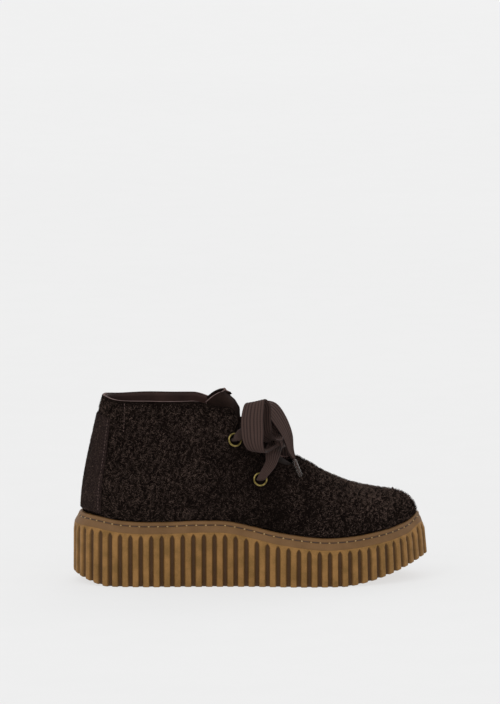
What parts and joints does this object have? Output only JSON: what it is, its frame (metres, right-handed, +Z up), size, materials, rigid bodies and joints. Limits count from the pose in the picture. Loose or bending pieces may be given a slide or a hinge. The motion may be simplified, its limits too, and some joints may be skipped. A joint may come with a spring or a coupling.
{
  "type": "lace-up shoe",
  "caption": "Right lace-up ankle shoe: hollow suede upper with an open throat over a tongue, on a thick ribbed platform sole with a stitched band.",
  "frame": {"origin": "on the floor under the middle of the shoe's box, laces not counted", "axes": "+X from heel to toe, +Z up, -Y towards the outer (lateral) side of a right foot"},
  "size_m": [0.2758, 0.1032, 0.1496],
  "materials": {
    "gum_rubber": "matt tan gum rubber",
    "welt_rubber": "satin tan gum rubber",
    "suede": "long-napped dark brown suede",
    "sock_leather": "smooth brown leather",
    "tongue_leather": "smooth dark brown leather",
    "backstay_leather": "short-napped brown leather",
    "antique_brass": "dulled",
    "lace_cotton": "flat ribbed brown cotton",
    "aglet_film": "clear film"
  },
  "bodies": {
    "root": {"outsole": "gum_rubber", "midsole": "welt_rubber", "upper": "suede", "insole": "sock_leather", "tongue": "tongue_leather", "backstay": "backstay_leather", "eyelet_lateral_upper": "antique_brass", "eyelet_lateral_lower": "antique_brass", "eyelet_medial_upper": "antique_brass", "eyelet_medial_lower": "antique_brass", "lacing": "lace_cotton", "knot": "lace_cotton", "loop_lateral": "lace_cotton", "loop_medial": "lace_cotton", "end_lateral": "lace_cotton", "end_medial": "lace_cotton", "aglet_lateral": "aglet_film", "aglet_medial": "aglet_film"}
  },
  "joints": []
}
